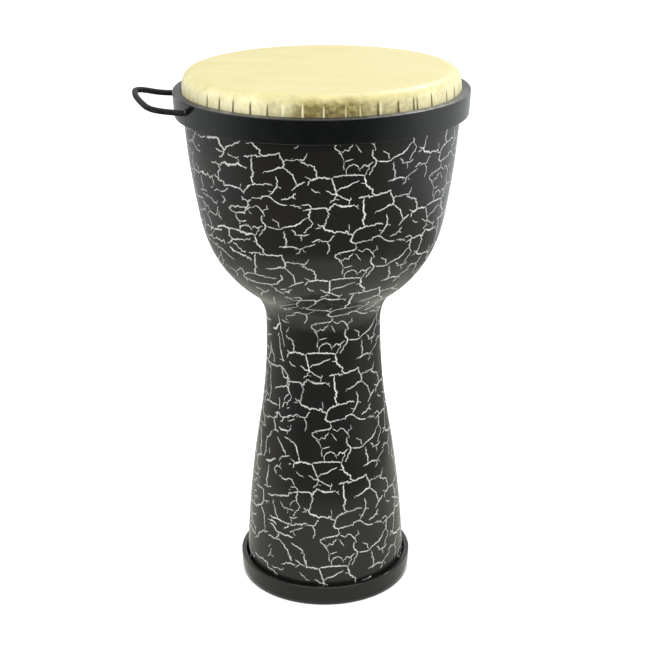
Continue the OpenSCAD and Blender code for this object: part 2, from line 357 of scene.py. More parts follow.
# On the -X side the film does not repeat: its cracks there, in mm on the shell itself (across from the
# middle of the -Y side, down from the mouth), the line that they reach to, and how far round they go.
SIDE_EDGE = [(12, -64), (133, -64), (134, -36), (170, -36), (171, -45), (203, -45), (205, -38), (325, -38),
             (330, -22), (350, -22), (354, -36), (430, -36), (436, -20), (490, -20)]
SIDE_BACK = [(12, -58), (195, -58), (210, -64), (490, -64)]
SIDE_CRACKS = [
    (1.5, (-130, 18), (-121, 19), (-116, 16)),
    (2.1, (-114, 17), (-107, 15.5), (-99, 15), (-97, 17), (-96, 20.5), (-92, 23), (-91.5, 27)),
    (1.4, (-91.5, 27), (-94, 30), (-98, 32)),
    (1.7, (-91.5, 25), (-89, 21), (-86, 20), (-81, 18.5), (-77, 16), (-73, 14.5)),
    (1.1, (-102, 24.5), (-99, 25), (-96, 26.5), (-92, 27)),
    (1.2, (-87, 26.5), (-84, 28), (-80, 29.5), (-77, 29.5), (-75, 28)),
    (1.0, (-77, 33), (-76, 30)),
    (1.3, (-67, 15), (-64, 14.5)),
    (1.5, (-70, 27), (-67, 26), (-64, 26)),
    (1.3, (-110, 38.5), (-104, 37.5), (-100, 39), (-97, 38.5), (-95, 36.5)),
    (2.2, (-95, 36.5), (-91, 35.5), (-88, 37), (-84, 36), (-76, 34.5), (-72, 35.5)),
    (1.2, (-72, 35.5), (-67, 36.5)),
    (1.3, (-100, 39), (-98, 43), (-101, 46), (-101, 51), (-100, 54)),
    (1.5, (-107, 50), (-102, 51.5), (-101, 54), (-95, 54), (-93, 57), (-86, 56), (-79, 56), (-75, 57),
     (-71, 60)),
    (1.0, (-75, 56), (-74, 52.5)),
    (1.6, (-130, 52), (-122, 52.5), (-116, 53), (-110, 53), (-108, 51.5)),
    (1.3, (-110, 53), (-108.5, 56), (-108, 60)),
    (1.6, (-64, 52), (-68, 55), (-70, 57.5), (-71, 61)),
    (1.3, (-108, 65), (-104, 63), (-99, 64.5), (-95, 63), (-91, 61), (-89, 59.5)),
    (1.0, (-114, 63), (-110, 62)),
    (1.2, (-98, 67), (-95, 69), (-94, 71.5), (-96, 74), (-98.5, 74.5)),
    (1.5, (-74, 64), (-72, 66), (-68, 67.5), (-64, 66)),
    (1.4, (-68, 67.5), (-66.5, 70.5), (-68, 72), (-70, 74)),
    (1.5, (-89.5, 77.5), (-86, 75), (-82, 74), (-76, 74.5), (-70, 73.5), (-68, 74.5)),
    (1.3, (-89.5, 77.5), (-86, 80), (-81, 80.5), (-77, 79.5), (-73, 79.5), (-70, 76.5), (-68, 75), (-64, 72)),
    (1.1, (-67, 76), (-64, 79)),
    (1.1, (-82, 82), (-80, 86), (-77, 88), (-77.5, 91)),
    (1.1, (-77, 87.5), (-73, 87), (-70, 86.5)),
    (1.4, (-77.5, 96.5), (-77, 93.5), (-74, 91), (-70, 90), (-67, 91), (-64.5, 94.5)),
    (1.2, (-130, 73), (-121, 74), (-115, 74), (-109, 77), (-106, 77), (-104.5, 74)),
    (1.2, (-104, 80), (-107, 83), (-104, 86), (-104, 89), (-101, 91.5)),
    (1.1, (-125, 92), (-120, 88), (-113, 89.5), (-108, 89), (-106, 86)),
    (1.0, (-130, 81), (-122, 85), (-118, 88)),
    (1.7, (-109, 100), (-104, 99), (-99, 97), (-92, 98), (-86, 97), (-78, 98), (-70, 99), (-64, 98)),
    (1.7, (-92, 98.5), (-91.5, 102), (-92, 105), (-89, 107.5)),
    (1.4, (-91, 112), (-88, 109), (-86, 107), (-80, 106.5), (-73, 105), (-66, 103)),
    (1.3, (-95, 114), (-91, 112)),
    (1.3, (-87, 111), (-83, 113.5), (-79, 116), (-76, 118), (-73, 117)),
    (1.5, (-130, 104), (-118, 105), (-112, 104), (-104, 102.5), (-102, 101)),
    (1.0, (-118, 109), (-116, 106)),
    (1.2, (-122, 116), (-112, 114), (-104, 114.5), (-100, 112), (-99, 116)),
    (1.7, (-93, 117), (-89, 120), (-82, 121), (-76, 122), (-70, 124), (-67, 126)),
    (1.3, (-69, 118), (-64, 117)),
    (1.1, (-118, 121), (-108, 123), (-100, 126), (-93, 129), (-88, 131)),
    (1.0, (-114, 140), (-106, 137)),
    (1.3, (-79, 149), (-77, 145), (-73, 142), (-66, 141), (-58, 141.5), (-50, 142.5), (-42, 142.5)),
    (1.4, (-79, 149), (-75, 151), (-68, 152), (-62, 153), (-56, 153), (-50, 152), (-46, 151.5), (-42, 149),
     (-38, 144), (-37, 141), (-38, 137)),
    (1.2, (-76, 151), (-75, 156)),
    (1.0, (-47, 152), (-47, 156)),
    (1.6, (-63, 133), (-64, 136), (-63, 141)),
    (1.3, (-83, 138), (-80, 140), (-77, 144)),
    (1.1, (-89, 145), (-84, 141), (-80, 139)),
    (1.1, (-102, 143), (-94, 145), (-87, 148), (-90, 152)),
    (1.2, (-66, 160), (-60, 163), (-56, 166), (-53, 164), (-50, 161)),
    (1.1, (-56, 166), (-60, 169), (-61, 176)),
    (1.4, (-45, 155), (-43, 159), (-39, 161), (-36, 163)),
    (1.2, (-39, 157), (-33, 155)),
    (1.0, (-47, 172), (-47, 182), (-48, 194)),
    (1.8, (-57, 232), (-52, 231), (-49, 227), (-44, 223)),
    (1.0, (-47, 213), (-46, 221), (-45, 228), (-43, 234), (-42, 240), (-40, 246)),
    (1.3, (-48, 234), (-47, 240), (-46, 248), (-45, 254), (-43, 259), (-41, 261)),
    (1.0, (-47, 260), (-44, 260), (-41, 261)),
    (1.1, (-43, 219), (-38, 220), (-34, 220)),
    (1.1, (-64, 252), (-60, 257), (-57, 260), (-55, 266)),
    (1.5, (-72, 270), (-62, 270), (-52, 268), (-44, 267), (-41, 269), (-37, 273)),
    (1.3, (-44, 268), (-43, 274), (-40, 277), (-36, 276)),
    (1.2, (-37, 273), (-37, 279), (-38, 285)),
    (1.3, (-55, 292), (-50, 289), (-43, 286), (-38, 285), (-36, 289), (-34, 291)),
    (1.3, (-63, 272), (-63, 285), (-62, 298), (-64, 306)),
    (1.2, (-41, 300), (-38, 295), (-35, 292)),
    (1.0, (-43, 307), (-42, 303), (-38, 301)),
    (1.1, (-48, 299), (-47, 305), (-48, 310)),
    (1.4, (-72, 310), (-66, 307), (-57, 307), (-50, 307)),
    (1.2, (-54, 316), (-49, 314), (-45, 317), (-38, 315), (-32, 312)),
    (1.1, (-42, 317), (-46, 322)),
    (1.4, (-73, 326), (-65, 323), (-56, 321), (-51, 318), (-49, 314)),
    (1.4, (-56, 321), (-54, 326), (-53, 331), (-49, 333)),
    (1.0, (-53, 331), (-56, 334)),
    (1.4, (-48, 328), (-42, 329), (-36, 328), (-34, 326), (-33, 322)),
    (1.0, (-37, 328), (-38, 332)),
    (1.2, (-72, 364), (-68, 357), (-68, 350), (-66, 344), (-62, 340), (-58, 335)),
    (1.3, (-50, 338), (-46, 343), (-42, 348), (-39, 353)),
    (1.3, (-41, 335), (-35, 337), (-29, 340), (-27, 346), (-25, 351)),
    (1.1, (-62, 352), (-61, 358)),
    (1.9, (-67, 366), (-61, 365), (-56, 362), (-52, 360)),
    (1.4, (-48, 360), (-44, 356), (-40, 354), (-35, 353)),
    (1.2, (-45, 362), (-48, 366), (-53, 368), (-54, 371), (-51, 375)),
    (0.9, (-48, 366), (-44, 368)),
    (1.3, (-48, 375), (-43, 377), (-38, 376), (-34, 375), (-31, 378), (-30, 381)),
    (1.2, (-62, 369), (-63, 376), (-66, 385), (-64, 390)),
    (1.1, (-70, 392), (-64, 391), (-58, 390)),
    (1.5, (-63, 399), (-57, 398), (-50, 396), (-43, 394), (-38, 393), (-36, 390), (-32, 389)),
    (1.4, (-86, 398), (-78, 398), (-70, 397), (-70, 405), (-71, 410), (-75, 415), (-84, 419)),
    (1.2, (-70, 407), (-61, 407)),
    (1.2, (-74, 416), (-70, 421), (-68, 428), (-68, 438)),
    (1.3, (-55, 402), (-54, 409), (-52, 415), (-50, 419)),
    (1.4, (-60, 420), (-50, 420), (-42, 421), (-34, 422), (-28, 420), (-23, 419)),
    (1.1, (-36, 422), (-39, 426), (-42, 428)),
    (1.0, (-46, 401), (-43, 405), (-36, 406), (-31, 406)),
    (0.9, (-37, 406), (-38, 411)),
    (1.5, (-63, 425), (-57, 424), (-51, 426)),
    (1.4, (-60, 427), (-54, 429), (-53, 432), (-48, 434), (-40, 434), (-32, 435)),
    (1.2, (-48, 434), (-48, 438), (-52, 440)),
    (1.4, (-63, 441), (-55, 441), (-48, 441), (-43, 445), (-38, 450), (-36, 456), (-34, 460)),
    (1.3, (-34, 441), (-28, 444), (-23, 447), (-20, 452), (-20, 461)),
    (1.5, (-46, 467), (-40, 464), (-34, 463), (-30, 463)),
    (1.1, (-30, 458), (-26, 461), (-20, 463)),
    (1.0, (-30, 466), (-26, 463)),
    (1.0, (-60, 450), (-62, 454)),
    (1.1, (-58, 454), (-60, 460), (-64, 464)),
    (0.9, (-60, 461), (-55, 461)),
    (1.3, (-86, 471), (-78, 472), (-72, 471), (-64, 471), (-62, 476), (-56, 477), (-51, 480)),
    (1.2, (-58, 473), (-51, 473), (-46, 473), (-43, 470)),
    (1.0, (-26, 470), (-22, 474), (-19, 477)),
    (1.3, (-88, 455), (-80, 450), (-76, 444), (-70, 440), (-63, 438)),
]


class Film:
    """Places a point of the film on the shell."""

    def __init__(self):
        pts, out = outline(steps=60)
        self.pts, self.out = pts[::-1], out[::-1]
        step = np.linalg.norm(np.diff(self.pts, axis=0), axis=1)
        self.down = np.concatenate([[0], np.cumsum(step)])

    def where(self, points):
        """Points of the film as (across, down) on the shell; left is how far the bowl's -X part is skewed."""
        across, down = points[:, 0], points[:, 1]
        slip = np.interp(down, [s[0] for s in SLIP], [s[1] for s in SLIP])
        left = np.clip(-across / 60, 0, 1.3) * np.interp(down, [0, 130, 170], [1, 1, 0])
        d = down + left * (4 - 0.09 * (down - 22))
        d = np.where(d > FILM_WAIST, FILM_WAIST + (d - FILM_WAIST) * FILM_STRETCH, d)
        return np.column_stack([across + slip - 2.5 * left, d])

    def angle(self, places):
        """How far round the shell places are, in radians from -Y towards +X."""
        return places[:, 0] / np.interp(places[:, 1], self.down, self.pts[:, 0])

    def on_shell(self, places, lift):
        """Points in space for places on the shell, lifted off its face."""
        d, a = places[:, 1], self.angle(places)
        r, z, nr, nz = (np.interp(d, self.down, column) for column in
                        (self.pts[:, 0], self.pts[:, 1], self.out[:, 0], self.out[:, 1]))
        r = r + lift * nr
        return np.stack([r * np.sin(a), -r * np.cos(a), z + lift * nz], -1)


# How the lines are drawn, in mm: step and roughness, widths kept to, and the fine hairs: their share of
# the line's points, reach and widths
LINE_STEP, LINE_ROUGH = 1.15, 0.46
LINE_WIDTHS = (0.30, 2.2)
HAIR_SHARE, HAIR_REACH, HAIR_WIDTHS = 0.04, (1.0, 2.6), (0.6, 0.42, 0.22)
SPECKS = 4           # in one repeat
REPEATS = 6          # laid each way


def wobbly(points, rng):
    """A crack line with small seeded bends between its points."""
    line = evenly(points, LINE_STEP)
    n = len(line)
    if n < 3:
        return line
    shift = rng.normal(0, 1, (n, 2))
    slow = np.array([np.convolve(np.pad(rng.normal(0, 1, n), 2, mode="edge"), np.ones(5) / 5, "valid")
                     for _ in range(2)]).T
    move = LINE_ROUGH * shift + 1.1 * LINE_ROUGH * slow
    move[0] = move[-1] = 0
    return line + move


def hair(line, i, rng):
    """A fine hair that leaves a crack line at its i-th point."""
    way = line[i + 1] - line[i - 1]
    square = np.array((-way[1], way[0])) * (1 if rng.random() < 0.5 else -1)
    way = 0.5 * way + square
    way /= np.linalg.norm(way) + 1e-9
    reach = rng.uniform(*HAIR_REACH)
    points = np.array([line[i], line[i] + way * reach * 0.55 + rng.normal(0, 0.2, 2),
                       line[i] + way * reach + rng.normal(0, 0.3, 2)])
    return points, np.array(HAIR_WIDTHS) * rng.uniform(0.8, 1.2)


def drawn(cracks, rng):
    """Every crack as (points, widths), with its fine hairs."""
    out = []
    for width, *points in cracks:
        line = wobbly(points, rng)
        n = len(line)
        slow = np.convolve(np.pad(rng.normal(0, 1, n), 3, mode="edge"), np.ones(7) / 7, "valid")
        w = 0.62 * width ** 1.25 * (1 + 0.20 * np.clip(rng.normal(0, 1, n), -1.6, 1.8) + 0.5 * slow)
        taper = np.minimum(np.arange(n), np.arange(n)[::-1]) / 2.0
        w = w * np.clip(0.5 + 0.5 * taper, 0.5, 1)
        out.append((line, np.clip(w, *LINE_WIDTHS)))
        out += [hair(line, i, rng) for i in range(2, n - 2) if rng.random() < HAIR_SHARE]
    return out


def specks(rng):
    """Loose specks of print in one repeat."""
    out = []
    for _ in range(SPECKS):
        at = np.array((rng.uniform(-40, 55), rng.uniform(20, 110)))
        way = rng.normal(0, 1, 2)
        way /= np.linalg.norm(way)
        out.append((np.array([at, at + way * rng.uniform(0.8, 2.0)]), np.array((0.42, 0.3))))
    return out


def ribbon(verts, faces, edges):
    """Adds a closed strip: edges are its four long edges, in order round its section."""
    base, n = len(verts), len(edges[0])
    for m in range(n):
        verts.extend(edge[m] for edge in edges)
    for m in range(n - 1):
        for q in range(4):
            a, b = base + 4 * m + q, base + 4 * m + (q + 1) % 4
            faces.append((a, a + 4, b + 4, b))
    e = base + 4 * (n - 1)
    faces += [(base, base + 1, base + 2, base + 3), (e + 3, e + 2, e + 1, e)]


def make_crackle(material):
    """The print: every crack is a thin raised strip, and stops where its part of the print ends."""
    film, rng = Film(), np.random.default_rng(PRINT_SEED)
    repeat = drawn(CRACKS, rng) + specks(rng)
    side = drawn(SIDE_CRACKS, rng)
    bottom = film.down[np.argmin(abs(film.pts[:, 1] - (FOOT_TOP - 3)))]
    across, down = np.array(REPEAT_ACROSS), np.array(REPEAT_DOWN)
    lines = [(line + i * across + j * down, width, film.where)
             for i in range(-REPEATS, REPEATS + 1) for j in range(-REPEATS, REPEATS + 1)
             for line, width in repeat]
    lines += [(line, width, None) for line, width in side]
    verts, faces = [], []
    for p, width, place in lines:
        if p[:, 1].max() < 2 or p[:, 1].min() > PRINT_TO:
            continue
        way = np.gradient(p, axis=0)
        way /= np.linalg.norm(way, axis=1)[:, None] + 1e-9
        square = np.column_stack([-way[:, 1], way[:, 0]]) * width[:, None] / 2
        mid, edges = p, [p + square, p - square]
        if place:
            mid, edges = place(mid), [place(e) for e in edges]
        angle, d = film.angle(mid), mid[:, 1]
        keep = (abs(angle) < math.pi) & (d > PRINT_FROM) & (d < bottom)
        if place:
            edge, back = (np.interp(d, *np.array(line).T) for line in (SIDE_EDGE, SIDE_BACK))
            keep &= ~((d > SIDE_EDGE[0][0]) & (mid[:, 0] < edge) & (angle > np.radians(back)))
        at = np.flatnonzero(keep)
        for run in np.split(at, np.flatnonzero(np.diff(at) > 1) + 1):
            if len(run) > 1:
                corners = ((0, PRINT_HIGH), (1, PRINT_HIGH), (1, PRINT_LOW), (0, PRINT_LOW))
                ribbon(verts, faces, [film.on_shell(edges[k][run], lift) for k, lift in corners])
    crackle = make_piece("crackle_print", verts, faces, [material], smooth=False)
    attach(crackle, "drum")


# ------------------------------ skin
SLIT_WIDTH, RIDGE_WIDTH = 0.48, 0.46      # degrees
RIPPLES = 110                             # small seeded ones all round
RIDGE_RELIEF, SLIT_RELIEF = 0.85, 0.62    # mm
RELIEF = (-0.72, 0.88)                    # and how far they may go


def skirt_radius(z):
    """Radius of the skirt's outside, which widens a little downwards."""
    return HEAD_R - (HEAD_R - RIM_R) * (z - HOOP_Z) / (DRUM_H - RIM_ROUND - HOOP_Z)


# Pleats on the side that faces -Y: degrees from -Y towards +X, depth of the slit, height of the ridge
# beside it, and how many degrees the ridge lies from the slit
FRONT_PLEATS = [
    (-67, 0.5, 0.3, 0.8), (-62.5, 0.4, 0.3, 0.6), (-60, 0.3, 0.3, 0.6), (-57.8, 0.6, 0.2, 0.6),
    (-50.9, 1.0, 0.3, 0.8), (-43.4, 1.1, 0.3, 0.8), (-36.2, 1.1, 0.3, 0.8), (-28.2, 1.1, 0.2, 0.9),
    (-21.0, 0.8, 0.8, -1.2), (-15.6, 0.1, 1.0, 0.7), (-7.9, 0.1, 1.0, 0.7), (0.0, 0.1, 0.75, 0.7),
    (2.3, 0.0, 0.3, 0.3), (8.3, 0.15, 0.65, 0.7), (13.9, 0.15, 0.65, 0.6), (21.8, 0.9, 1.0, 0.9),
    (30.6, 0.9, 0.6, 0.9), (38.0, 0.9, 0.8, 0.8), (39.8, 0.9, 0.6, 0.6), (48.0, 1.0, 0.5, 0.7),
    (58.9, 0.7, 0.3, 0.7), (67.2, 0.7, 0.3, 0.7), (74, 0.8, 0.4, 0.8)]
# The rest are seeded, from and to these degrees and this far apart
BACK_PLEATS, BACK_GAPS = (81.0, 288), (6.4, 8.6)
# Softer dents between them: degrees, depth, width
FRONT_DENTS = [(-28.6, 0.22, 1.3), (20.9, 0.22, 1.2), (30.0, 0.30, 1.4), (36.6, 0.26, 1.0), (38.9, 0.42, 1.1),
               (42.3, 0.24, 0.8), (44.6, 0.20, 0.7), (48.4, 0.28, 0.9), (59.4, 0.24, 0.9), (67.5, 0.24, 0.8)]


def pleat_field(angles, rng):
    """Fold depth round the skirt, from about -1 in a slit to +1 on a ridge."""
    pleats = list(FRONT_PLEATS)
    a, last = BACK_PLEATS
    while a < last:
        pleats.append((a, rng.uniform(0.6, 1.1), rng.uniform(0.2, 0.9), rng.choice([-0.9, 0.9])))
        a += rng.uniform(*BACK_GAPS)
    deg = np.degrees(angles)
    field = np.zeros_like(deg)
    for at, slit, ridge, beside in pleats:
        d = (deg - at + 180) % 360 - 180
        field += -slit * np.exp(-(d / SLIT_WIDTH) ** 2)
        field += ridge * np.exp(-((d - beside) / RIDGE_WIDTH) ** 2)
    for at, depth, wide in FRONT_DENTS:
        field -= depth * np.exp(-((deg - at) / wide) ** 2)
    for _ in range(RIPPLES):
        at, depth, wide = rng.uniform(0, 360), rng.uniform(0.06, 0.2), rng.uniform(0.3, 0.7)
        d = (deg - at + 180) % 360 - 180
        field += depth * rng.choice([-1, 1]) * np.exp(-(d / wide) ** 2)
    return field


def skin_profile():
    """The skin's section: over the head and rim, down the skirt, round the fold and back up inside.

    Each row is a radius, a height and the share of the pleats' relief there.
    """
    rows = [(r, DRUM_H, 0.0) for r in (0.0, 12, 25, 38, 50, 62, 74, 86, 96, 104, 110)]
    corner, level = RIM_R - RIM_ROUND, DRUM_H - RIM_ROUND
    for t in np.linspace(0, 90, 13):
        a = math.radians(t)
        share = max(0.0, (t - 40) / 50) ** 1.6 * 0.7
        rows.append((corner + RIM_ROUND * math.sin(a), level + RIM_ROUND * math.cos(a), share))
    for z in (496, 494, 492, 490.5, 489, 487, 484, 480, 477):
        rows.append((skirt_radius(z), z, 0.7 + 0.3 * min(1, (498 - z) / 8)))
    fold = HOOP_R + FIT
    centre = HEAD_R + fold
    turn = np.radians(np.linspace(180, 360, 11))
    for a in turn:
        rows.append((centre + (fold + SKIN_T) * math.cos(a), HOOP_Z + (fold + SKIN_T) * math.sin(a), 0.0))
    rows += [(centre + fold + SKIN_T, FOLD_TOP, 0.0), (centre + fold, FOLD_TOP, 0.0)]
    for a in turn[::-1]:
        rows.append((centre + fold * math.cos(a), HOOP_Z + fold * math.sin(a), 0.0))
    for z in (477, 484, 492):
        rows.append((skirt_radius(z) - SKIN_T, z, 0.0))
    rows.append((RIM_R - SKIN_T, level, 0.0))
    inside = RIM_ROUND - SKIN_T
    for t in np.linspace(90, 0, 8)[1:]:
        a = math.radians(t)
        rows.append((corner + inside * math.sin(a), level + inside * math.cos(a), 0.0))
    rows += [(r, DRUM_H - SKIN_T, 0.0) for r in (80, 40, 0.0)]
    return np.array(rows)


def make_skin(material):
    """The head, with the pleats of its skirt and the fold round the hoop."""
    around, rows = SKIN_AROUND, skin_profile()
    ang = np.arange(around) * 2 * math.pi / around            # from -Y towards +X
    field = pleat_field(ang, np.random.default_rng(SKIN_SEED))
    relief = np.clip(np.where(field > 0, RIDGE_RELIEF * field, SLIT_RELIEF * field), *RELIEF)
    verts, index = [], []
    for r, z, share in rows:
        if r == 0.0:
            index.append([len(verts)] * around)
            verts.append((0, 0, z))
            continue
        rr = r + relief * share
        index.append(list(range(len(verts), len(verts) + around)))
        verts.extend(zip(rr * np.sin(ang), -rr * np.cos(ang), np.full(around, z)))
    faces = []
    for i in range(len(rows) - 1):
        for c in range(around):
            d = (c + 1) % around
            quad = [index[i][c], index[i][d], index[i + 1][d], index[i + 1][c]]
            quad = [v for k, v in enumerate(quad) if v not in quad[:k]]
            faces.append(quad[::-1])
    skin = make_piece("skin_head", verts, faces, [material])
    # Fold depth for the material, which turns it into painted shade in the slits and painted highlight on the
    # ridges.
    fold_depth = np.zeros(len(verts))
    for ring, (r, z, share) in zip(index, rows):
        if r > 0:
            fold_depth[ring] = field * share
    add_values(skin, "fold", fold_depth)
    skin.data.set_sharp_from_angle(angle=math.radians(70))
    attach(skin, "drum")
    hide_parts("drumhead")


# ------------------------------ materials
class Nodes:
    """Short names for the nodes of one material."""

    def __init__(self, name):
        self.material = bpy.data.materials.new(name)
        self.material.use_nodes = True
        self.tree = self.material.node_tree
        self.tree.nodes.clear()
        self.out = self.tree.nodes.new("ShaderNodeOutputMaterial")
        self.bsdf = self.tree.nodes.new("ShaderNodeBsdfPrincipled")
        self.link(self.bsdf.outputs[0], self.out.inputs["Surface"])
        self.coords = self.tree.nodes.new("ShaderNodeTexCoord").outputs["Object"]

    def link(self, a, b):
        self.tree.links.new(a, b)

    def new(self, kind, **values):
        node = self.tree.nodes.new("ShaderNode" + kind)
        for k, v in values.items():
            if hasattr(node, k):
                setattr(node, k, v)
            else:
                node.inputs[k.replace("_", " ")].default_value = v
        return node

    def scaled(self, x, y, z):
        m = self.new("Mapping")
        m.inputs["Scale"].default_value = (x, y, z)
        self.link(self.coords, m.inputs["Vector"])
        return m.outputs[0]

    def noise(self, scale, detail=3.0, rough=0.5, vector=None):
        n = self.new("TexNoise", Scale=scale, Detail=detail, Roughness=rough)
        self.link(vector or self.coords, n.inputs["Vector"])
        return n.outputs["Fac"]

    def split(self, vector=None):
        """X, Y and Z of a vector, or of the point on the piece."""
        n = self.new("SeparateXYZ")
        self.link(vector or self.coords, n.inputs[0])
        return n.outputs

    def length(self, vector=None):
        n = self.new("VectorMath", operation="LENGTH")
        self.link(vector or self.coords, n.inputs[0])
        return n.outputs["Value"]

    def ramp(self, value, *stops):
        r = self.new("ValToRGB").color_ramp
        node = self.tree.nodes[-1]
        while len(r.elements) < len(stops):
            r.elements.new(0.5)
        for e, (at, colour) in zip(r.elements, stops):
            e.position = at
            e.color = (*colour, 1)
        self.link(value, node.inputs[0])
        return node.outputs[0]

    def mix(self, share, a, b):
        m = self.new("Mix", data_type="RGBA")
        for value, socket in ((share, m.inputs[0]), (a, m.inputs[6]), (b, m.inputs[7])):
            if isinstance(value, bpy.types.NodeSocket):
                self.link(value, socket)
            else:
                socket.default_value = (*value, 1)
        return m.outputs[2]

    def spread(self, value, low0, high0, low1, high1):
        m = self.new("MapRange")
        for k, v in zip(("From Min", "From Max", "To Min", "To Max"), (low0, high0, low1, high1)):
            m.inputs[k].default_value = v
        self.link(value, m.inputs["Value"])
        return m.outputs[0]

    def smoothly(self, value, low0, high0, low1, high1):
        out = self.spread(value, low0, high0, low1, high1)
        out.node.interpolation_type = "SMOOTHSTEP"
        return out

    def blend(self, share, a, b):
        """a where share is 0 and b where it is 1."""
        rest = self.maths("SUBTRACT", 1.0, share)
        return self.maths("ADD", self.maths("MULTIPLY", rest, a), self.maths("MULTIPLY", share, b))

    def maths(self, how, a, b):
        m = self.new("Math", operation=how)
        for value, socket in ((a, m.inputs[0]), (b, m.inputs[1])):
            if isinstance(value, bpy.types.NodeSocket):
                self.link(value, socket)
            else:
                socket.default_value = value
        return m.outputs[0]

    def bump(self, height, distance, strength=1.0):
        b = self.new("Bump", Strength=strength, Distance=distance)
        self.link(height, b.inputs["Height"])
        self.link(b.outputs[0], self.bsdf.inputs["Normal"])

    def set(self, **values):
        for k, v in values.items():
            socket = self.bsdf.inputs[k.replace("_", " ")]
            if isinstance(v, bpy.types.NodeSocket):
                self.link(v, socket)
            else:
                socket.default_value = (*v, 1) if isinstance(v, tuple) else v


SHELL_BLACKS = ((0.0090, 0.0091, 0.0083), (0.0118, 0.0119, 0.0108))
SHELL_BROWN_REFLECTION = (0.0185, 0.0122, 0.0108)


def gloss_black():
    """Lacquered black under the print, with a painted brown reflection in places on the -X side."""
    n = Nodes("gloss_black")
    fine = n.noise(260, 2)
    tone = n.mix(n.spread(fine, 0.35, 0.7, 0, 0.35), *SHELL_BLACKS)
    # Painted reflection: a brownish tint mixed into the black on the -X side, broken up by noise.
    brown_reflection = n.maths("MULTIPLY", n.spread(n.noise(14, 2), 0.45, 0.62, 0, 1),
                    n.smoothly(n.split()["X"], -0.09, -0.02, 0.8, 0.15))
    n.set(Base_Color=n.mix(brown_reflection, tone, SHELL_BROWN_REFLECTION),
          Roughness=n.spread(n.noise(30, 4), 0.3, 0.7, 0.10, 0.20), IOR=1.5)
    n.bump(n.noise(140, 2), 0.00012, 0.35)
    return n.material


def inside_black():
    """Bare moulded black, rough, inside the shell."""
    n = Nodes("inside_black")
    n.set(Base_Color=n.ramp(n.noise(80, 5), (0.3, (0.010, 0.010, 0.010)), (0.75, (0.028, 0.027, 0.026))),
          Roughness=n.spread(n.noise(200, 2), 0.2, 0.8, 0.55, 0.8))
    n.bump(n.noise(420, 3), 0.0004, 0.5)
    return n.material


def crackle_white():
    """The print's off-white."""
    n = Nodes("crackle_white")
    tone = n.ramp(n.noise(45, 3), (0.3, (0.36, 0.36, 0.35)), (0.6, (0.57, 0.57, 0.55)))
    n.set(Base_Color=tone, Roughness=n.spread(n.noise(300, 2), 0.2, 0.8, 0.25, 0.4))
    return n.material


# Tones of the hide: over the head, on the skirt away from the patch of painted shade and in it, the painted
# highlight on a ridge and the painted shade in a slit
CREAMS = ((0.578, 0.520, 0.258), (0.556, 0.490, 0.226))
CREAM_DARK = (0.53, 0.46, 0.23)
PALES = ((0.69, 0.62, 0.34), (0.79, 0.735, 0.445), (0.84, 0.785, 0.51))
OLIVE_PAINTED_SHADES = ((0.105, 0.080, 0.019), (0.215, 0.174, 0.056), (0.41, 0.355, 0.155))
RIDGE_HIGHLIGHT = (0.78, 0.73, 0.50)
SLIT_SHADE = (0.080, 0.060, 0.012)


def hide():
    """Cream hide: mottled, clearer over the playing area, with painted shade as a darker olive patch low on
    the -Y side and in the skirt's slits, and a painted highlight on its ridges.
    """
    n = Nodes("hide")
    mottle = n.noise(38, 5, 0.6)
    streak = n.noise(14, 4, 0.55, n.scaled(0.6, 1.7, 1))
    top = n.mix(n.spread(streak, 0.3, 0.7, 0.0, 1.0), *CREAMS)
    top = n.mix(n.spread(mottle, 0.45, 0.75, 0.0, 0.15), top, CREAM_DARK)
    speckle = n.noise(250, 5, 0.7)
    pale = n.ramp(speckle, *zip((0.32, 0.5, 0.68), PALES))
    olive_shade = n.ramp(speckle, *zip((0.33, 0.5, 0.68), OLIVE_PAINTED_SHADES))
    x, y, z = n.split()
    uneven = n.spread(n.noise(26, 3), 0.3, 0.7, -0.012, 0.012)
    off = n.maths("ADD", n.maths("SUBTRACT", x, 0.004), uneven)
    left, right = n.spread(off, -0.058, -0.026, 0.0, 1.0), n.spread(off, 0.022, 0.105, 1.0, 0.0)
    # Painted shade: the olive patch on the skirt, kept to the middle of the -Y side.
    shade_patch = n.maths("MULTIPLY", n.maths("MULTIPLY", left, right), n.spread(y, -0.06, -0.02, 1.0, 0.0))
    skirt = n.mix(shade_patch, pale, olive_shade)
    fold = n.new("Attribute", attribute_name="fold").outputs["Fac"]
    # Painted highlight on the pleats' ridges and painted shade in their slits, from the fold depth.
    skirt = n.mix(n.spread(fold, 0.22, 0.60, 0.0, 0.85), skirt, RIDGE_HIGHLIGHT)
    skirt = n.mix(n.spread(fold, -0.62, -0.22, 0.88, 0.0), skirt, SLIT_SHADE)
    radius = n.length(n.scaled(1, 1, 0))
    ragged = n.maths("MULTIPLY", n.spread(n.noise(90, 4), 0.3, 0.7, -0.0026, 0.0026),
                     n.spread(radius, 0.112, 0.119, 0.0, 1.0))
    low = n.spread(n.maths("ADD", z, ragged), 0.4995, 0.5072, 1.0, 0.0)
    n.set(Base_Color=n.mix(low, top, skirt), Roughness=n.spread(mottle, 0.3, 0.7, 0.42, 0.56))
    n.link(n.spread(fold, -0.5, -0.1, 0.04, 0.3), n.bsdf.inputs["Specular IOR Level"])
    n.set(Subsurface_Weight=0.05, Subsurface_Scale=0.003)
    n.bump(n.noise(520, 4, 0.6), 0.00022, 0.5)
    return n.material


def satin_black(name, base, light, rough, scale=190):
    """Satin moulded black between two tones."""
    n = Nodes(name)
    n.set(Base_Color=n.mix(n.spread(n.noise(24, 3), 0.3, 0.7, 0, 1), base, light),
          Roughness=n.spread(n.noise(scale, 3), 0.25, 0.75, rough - 0.05, rough + 0.06))
    n.bump(n.noise(scale * 3.2, 2), 0.00010, 0.15)
    return n.material


COLLAR_BLACKS = ((0.0024, 0.0029, 0.0028), (0.0034, 0.0042, 0.0041))
